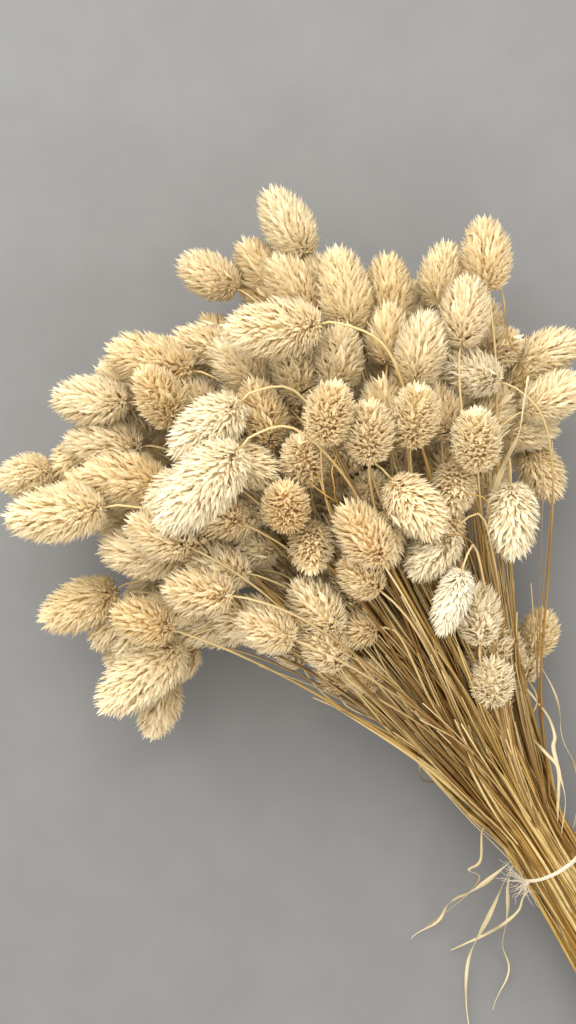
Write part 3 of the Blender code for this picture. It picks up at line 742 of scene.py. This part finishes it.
def openness(middle, stems):
    """How far from the nearest heads a place is, as seen from above."""
    spans = np.sort([np.linalg.norm((stem["middle"] - middle)[:2]) for stem in stems])
    return spans[:3].sum()


def small_stem(line, pole, middle, fresh=False):
    """A stem of the scene's own, as read_spray and build_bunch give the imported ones."""
    return {
        "line": line, "pole": pole, "full": False,
        "path": Line(line), "middle": middle, "fresh": fresh,
    }


def young_stem(stems):
    """A shorter stem between neighbouring ones, whose small head fills a gap inside the crown."""
    tries = [young_place(stems) for _ in range(YOUNG_TRIES)]
    inside = [found for found in tries if openness(found[0], stems) < YOUNG_OPENNESS] or tries
    middle, chosen = max(inside, key=lambda found: openness(found[0], stems))
    way = sum(stem["pole"] - stem["line"][-1] for stem in chosen)
    way = way / np.linalg.norm(way) + draw.normal(0, 0.25, 3)
    way *= YOUNG_LENGTH * draw.uniform(0.9, 1.15) / np.linalg.norm(way)
    base = middle - way / 2
    stops = np.linspace(0, 0.8, YOUNG_RINGS)
    lean = np.linspace(draw.uniform(0.2, 0.8), 0.5, YOUNG_RINGS)[:, None]
    runs = [stem["path"].at_shares(stops) for stem in chosen[:2]]
    line = [*(runs[0] * (1 - lean) + runs[1] * lean), base - way * 0.4, base]
    return small_stem(line, base + way * LAST_ROW, middle)


def low_stem(base, tip, stems):
    """A short stem that leaves a neighbour's run before its head."""
    fresh = base[2] > FRESH_ABOVE
    base, tip = np.array(base) * MM, np.array(tip) * MM
    way = (tip - base) * LAST_ROW
    start = base - way * 0.5
    marks = np.linspace(0, 1, 60)
    runs = [stem["path"].at_shares(marks) for stem in stems]
    spans = [np.linalg.norm(run - start, axis=1) for run in runs]
    nearest = min(range(len(stems)), key=lambda number: spans[number].min())
    last = max(int(spans[nearest].argmin()) - 6, 8)
    line = [*runs[nearest][:last:4], start, base]
    return small_stem(line, base + way, (base + tip) / 2, fresh)


def rest_on_floor(piece):
    found = places(piece.data)
    found[:, 2] = np.maximum(found[:, 2], 0)
    place_all(piece.data, found)


def fine_strand(stems):
    """A thin stem between two neighbouring ones, which gives out among the heads."""
    first = stems[draw.integers(len(stems))]
    gate = first["path"].at_shares(FINE_GATE)
    near = sorted(stems, key=lambda stem: np.linalg.norm(stem["path"].at_shares(FINE_GATE) - gate))[1:6]
    second = near[draw.integers(len(near))]
    shares = np.linspace(draw.uniform(0, 0.015), draw.uniform(0.6, 0.9), FINE_RINGS)
    lean = np.linspace(draw.uniform(-0.1, 1.1), draw.uniform(-0.1, 1.1), FINE_RINGS)[:, None]
    run = (1 - lean) * first["path"].at_shares(shares)
    run = run + lean * second["path"].at_shares(shares)
    run = run + sway(FINE_RINGS, 1.0 * MM, 6)
    radii = draw.uniform(0.3, 0.75) * MM * np.interp(shares, (0, 0.5, 0.9), (1.2, 1, 0.5))
    return {"places": run, "radii": radii, "tint": draw.uniform()}


def stray_strand(points):
    line = Line(np.array(points) * MM)
    run = line.at(np.linspace(0, line.length, STRAY_RINGS)) + sway(STRAY_RINGS, 0.2 * MM, 5)
    radii = STRAY_RADIUS * np.linspace(0.6, 1, STRAY_RINGS)
    return {"places": run, "radii": radii, "tint": draw.uniform(0.3, 1)}


def blade(name, line, sides, look, steps, levels=1):
    """A folded dry blade along a line. Its sides are half its width, as vectors at even steps."""
    bpy.ops.object.select_all(action="DESELECT")
    bpy.ops.mesh.primitive_grid_add(x_subdivisions=steps, y_subdivisions=2, size=2)
    piece = bpy.context.object
    piece.name = name
    found = places(piece.data)
    shares, across = found[:, 0] / 2 + 0.5, found[:, 1:2]
    marks = np.linspace(0, 1, len(sides))
    half = np.stack([np.interp(shares, marks, np.array(sides)[:, axis]) for axis in range(3)], axis=-1)
    way = line.at_shares(np.minimum(shares + 0.01, 1)) - line.at_shares(np.maximum(shares - 0.01, 0))
    up = np.cross(way, half)
    up /= np.linalg.norm(up, axis=1)[:, None]
    width = np.linalg.norm(half, axis=1)[:, None]
    fold = up * width * BLADE_FOLD * np.abs(across)
    place_all(piece.data, line.at_shares(shares) + half * across + fold)
    finishing = [("SOLIDIFY", {"thickness": BLADE_THICKNESS, "offset": 0})]
    if levels:
        finishing.insert(0, ("SUBSURF", {"levels": levels, "render_levels": levels}))
    for kind, settings in finishing:
        modifier = piece.modifiers.new(kind.lower(), kind)
        for key, value in settings.items():
            setattr(modifier, key, value)
        alone(piece)
        bpy.ops.object.modifier_apply(modifier=modifier.name)
    bpy.ops.object.shade_smooth()
    note(piece.data, "tint", draw.uniform(0.4, 1))
    piece.data.materials.append(look)
    return piece


def turned(sides, ways, turns):
    """Half widths of a blade, turned about its run."""
    ways = ways / np.linalg.norm(ways, axis=1)[:, None]
    return sides * np.cos(turns)[:, None] + np.cross(ways, sides) * np.sin(turns)[:, None]


def packed_leaf(name, look):
    """A narrower, wavy blade along the middle of a packed leaf."""
    mesh = merged(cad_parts[name])
    ring = sorted(mesh.verts, key=lambda vertex: np.linalg.norm(np.array(vertex.co) - TIE_MIDDLE))[:4]
    known, points, sides = set(ring), [], []
    while ring:
        corners = np.array([vertex.co[:] for vertex in ring])
        points.append(corners.mean(axis=0))
        across = np.linalg.svd(corners - points[-1])[2][0]
        side = across * np.abs((corners - points[-1]) @ across).max()
        sides.append(side if not sides or side @ sides[-1] > 0 else -side)
        ring = ring_after(ring, known, on_head=False)
    mesh.free()
    points, sides = np.array(points), np.array(sides)
    shares = np.linspace(0, 1, len(points))
    aside = sides / np.linalg.norm(sides, axis=1)[:, None]
    phase, waves = draw.uniform(0, math.tau), draw.uniform(1.6, 2.4)
    wave = BLADE_WAVE * np.sin(math.tau * waves * shares + phase) * np.sin(math.pi * shares)
    points = points + aside * wave[:, None]
    turns = 1.1 * np.sin(math.tau * 1.3 * shares + phase)
    broad = BLADE_SHARE * (0.75 + 0.7 * np.exp(-((shares - draw.uniform(0.25, 0.4)) / 0.1) ** 2))
    sides = turned(sides * broad[:, None], np.gradient(points, axis=0), turns)
    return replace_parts(blade(name + "_blade", Line(points), sides, look, BLADE_STEPS), name)


def loose_strip(number, half_width, points, look):
    """A narrow dry strip that turns over along its way."""
    line = Line(np.array(points) * MM)
    run = line.at(np.linspace(0, line.length, STRIP_MARKS))
    ways = np.gradient(run, axis=0)
    level = np.cross(ways, (0, 0, 1))
    level /= np.linalg.norm(level, axis=1)[:, None]
    width = half_width * MM * np.sin(np.linspace(0.3, math.pi - 0.1, STRIP_MARKS)) ** 0.6
    sides = turned(level * width[:, None], ways, np.cumsum(draw.normal(0, 0.35, STRIP_MARKS)))
    return blade(f"strip_{number}", line, sides, look, BLADE_STEPS)


def sheath(number, stems, look):
    """A flat strip that peels from a stem near the outside of the fan."""
    stem = stems[draw.integers(len(stems))]
    path = stem["path"]
    shares = np.linspace(draw.uniform(0.2, 0.35), draw.uniform(0.5, 0.8), SHEATH_MARKS)
    run = path.at_shares(shares)
    out = run - (run[:, 1:2] - TIE_MIDDLE[1]) * np.array([0, 1, 0.25]) - TIE_MIDDLE
    out[:, 1] = 0
    out /= np.maximum(np.linalg.norm(out, axis=1), 1e-4)[:, None]
    run = run + out * (1.5 * MM) + sway(SHEATH_MARKS, 1.0 * MM, 4)
    width = draw.uniform(0.6, 1.9) * MM * np.sin(np.linspace(0.35, math.pi - 0.1, SHEATH_MARKS))
    way = np.gradient(run, axis=0)
    level = np.cross(way, out)
    level /= np.linalg.norm(level, axis=1)[:, None]
    turn = np.linspace(0, draw.normal(0, 0.9), SHEATH_MARKS)[:, None]
    sides = (level * np.cos(turn) + out * np.sin(turn)) * width[:, None]
    return blade(f"sheath_{number:02d}", Line(run), sides, look, SHEATH_STEPS, levels=0)


def tie_ring(turns, reach, along):
    """Points round the band, whose plane leans with the handle."""
    rise = math.atan(HANDLE_RISE)
    across = np.array([1.0, 0, 0])
    up = np.array([0, -math.sin(rise), math.cos(rise)])
    ahead = np.array([0, math.cos(rise), math.sin(rise)])
    out = np.cos(turns)[:, None] * across + np.sin(turns)[:, None] * up
    return TIE_MIDDLE + reach[:, None] * out + along[:, None] * ahead


def model_tie(look):
    """The pale band: fibres side by side round the stems, a knot at its left and frayed ends."""
    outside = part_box("tie")[1].x - TIE_MIDDLE[0]
    turns = np.linspace(0, math.tau, BAND_STEPS, endpoint=False)
    loops = []
    for fibre in range(BAND_FIBRES):
        layer, lane = divmod(fibre, BAND_LANES)
        lane = (2 * lane + 1 - BAND_LANES) / (BAND_LANES - 1)
        phase = draw.uniform(0, math.tau)
        along = (lane * 0.85 + 0.16 * np.sin(3 * turns + phase)) * MM
        sunk = (0.55 + 0.5 * layer + 0.25 * lane ** 2 + 0.08 * np.sin(5 * turns + phase)) * MM
        run = tie_ring(turns, outside - sunk, along)
        loops.append({"places": run, "radii": np.full(BAND_STEPS, BAND_RADIUS), "tint": draw.uniform()})
    band = tubes("band_loops", loops, look, loops=True)
    seat = tie_ring(np.array([KNOT_TURN]), np.array([outside + 1.2 * MM]), np.array([0.0]))[0]
    knot = []
    for _ in range(KNOT_LOOPS):
        first, second = np.linalg.qr(draw.normal(size=(3, 3)))[0][:2]
        around = np.linspace(0, math.tau, KNOT_STEPS, endpoint=False)[:, None]
        run = seat + (np.cos(around) * first + np.sin(around) * second) * draw.uniform(1.0, 1.7) * MM
        knot.append({"places": run, "radii": np.full(KNOT_STEPS, KNOT_RADIUS), "tint": draw.uniform()})
    knot = tubes("knot_loops", knot, look, loops=True)
    frays = []
    for end in FRAYED_ENDS:
        for _ in range(FRAYS):
            way = np.array(end) + draw.normal(0, 0.16, 3)
            length = draw.uniform(3, 13) * MM
            steps = np.linspace(0, 1, FRAY_STEPS)[:, None]
            curl = draw.normal(0, 0.35, 3)
            run = seat + (way * steps + curl * steps ** 2) * length
            run = run + sway(FRAY_STEPS, 0.7 * MM, 7) * np.sqrt(steps)
            radii = np.linspace(0.24, 0.1, FRAY_STEPS) * MM
            frays.append({"places": run, "radii": radii, "tint": draw.uniform()})
    frays = tubes("frayed_ends", frays, look, resolution=0)
    return joined("fibre_band", [band, knot, frays])


def build_bunch():
    husk = husk_finish()
    straw = straw_finish("straw", STRAW_COLOURS, STEM_STREAKS, FAN_SHADE)
    peeling = straw_finish("peeling_sheath", SHEATH_COLOURS, BLADE_STREAKS)
    dry_leaf = straw_finish("dry_leaf", LEAF_COLOURS, BLADE_STREAKS)
    fibre = fibre_finish()
    papery = model_husk(husk)
    kinds = [
        {"length": length, "piece": model_head(f"head_kind_{number}", length, count, papery, husk)}
        for number, (length, count) in enumerate(HEAD_KINDS)
    ]
    names = sorted(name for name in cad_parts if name.startswith("spray"))
    stems = [stem for name in names for stem in read_spray(name)]
    for stem in stems:
        stem["path"] = Line(stem["line"])
        stem["middle"] = (stem["line"][-1] + stem["pole"]) / 2
    for name in names:
        own = [stem for stem in stems if stem["name"] == name]
        grass = grass_piece("grass_" + name[-2:], own, kinds, straw)
        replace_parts(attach(grass, "root"), name)
    young = [low_stem(base, tip, stems) for base, tip in LOW_HEADS]
    for _ in range(YOUNG_STEMS):
        young.append(young_stem(stems + young))
    for group in range(YOUNG_GROUPS):
        grass = grass_piece(f"young_grass_{group + 1}", young[group::YOUNG_GROUPS], kinds, straw)
        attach(grass, "root")
    for group in range(FINE_GROUPS):
        fine = [fine_strand(stems) for _ in range(FINE_STRANDS // FINE_GROUPS)]
        fine = tubes(f"fine_stems_{group + 1}", fine, straw, resolution=0)
        rest_on_floor(fine)
        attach(fine, "root")
    sheaths = joined("loose_sheaths", [sheath(number, stems, peeling) for number in range(SHEATHS)])
    rest_on_floor(sheaths)
    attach(sheaths, "root")
    strays = tubes("stray_strands", [stray_strand(points) for points in STRAYS], straw)
    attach(strays, "root")
    strips = joined("loose_strips", [
        loose_strip(number, half, points, dry_leaf) for number, (half, points) in enumerate(LOOSE_STRIPS)
    ])
    rest_on_floor(strips)
    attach(strips, "root")
    for name in sorted(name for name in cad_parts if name.startswith("leaf")):
        leaf = packed_leaf(name, dry_leaf)
        rest_on_floor(leaf)
        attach(leaf, "root")
    band = model_tie(fibre)
    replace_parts(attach(band, "root"), "tie")
    for kind in kinds:
        bpy.data.objects.remove(kind["piece"])
    bpy.data.objects.remove(papery)


def lamp(name, aside, height, size, power, colour):
    """A soft light that aims at the bunch."""
    offset = LIGHT_WAY * aside + Vector((0, 0, height))
    bpy.ops.object.light_add(type="AREA", location=LIGHT_AIM + offset)
    light = bpy.context.object
    light.name = name
    light.rotation_euler = (-offset).to_track_quat("-Z", "Y").to_euler()
    light.data.size = size
    light.data.energy = power
    light.data.color = colour


def set_stage():
    """The floor, the soft light from the picture's upper left, and the photograph's camera."""
    bpy.ops.object.select_all(action="DESELECT")
    bpy.ops.mesh.primitive_plane_add(size=FLOOR_SIZE, location=(0, 0, 0))
    floor = bpy.context.object
    floor.name = "plain_floor"
    floor.data.materials.append(floor_finish())
    lamp("key_light", **KEY_LIGHT)
    lamp("fill_light", **FILL_LIGHT)
    world = bpy.data.worlds.new("soft_light")
    bpy.context.scene.world = world
    world.use_nodes = True
    background = world.node_tree.nodes["Background"]
    background.inputs["Color"].default_value = ROOM_COLOUR
    background.inputs["Strength"].default_value = ROOM_STRENGTH
    bpy.ops.object.camera_add(location=EYE)
    camera = bpy.context.object
    camera.name = "photograph_view"
    axes = Matrix((PICTURE_RIGHT, PICTURE_UP, Vector((0, 0, 1))))
    camera.rotation_euler = axes.transposed().to_euler()
    camera.data.sensor_fit = "VERTICAL"
    camera.data.sensor_height = SENSOR
    camera.data.lens = FOCAL_PIXELS / PICTURE_HEIGHT * SENSOR
    camera.data.clip_start = NEAREST
    bpy.context.scene.camera = camera
    bpy.context.scene.view_settings.view_transform = "Standard"


set_stage()
build_bunch()
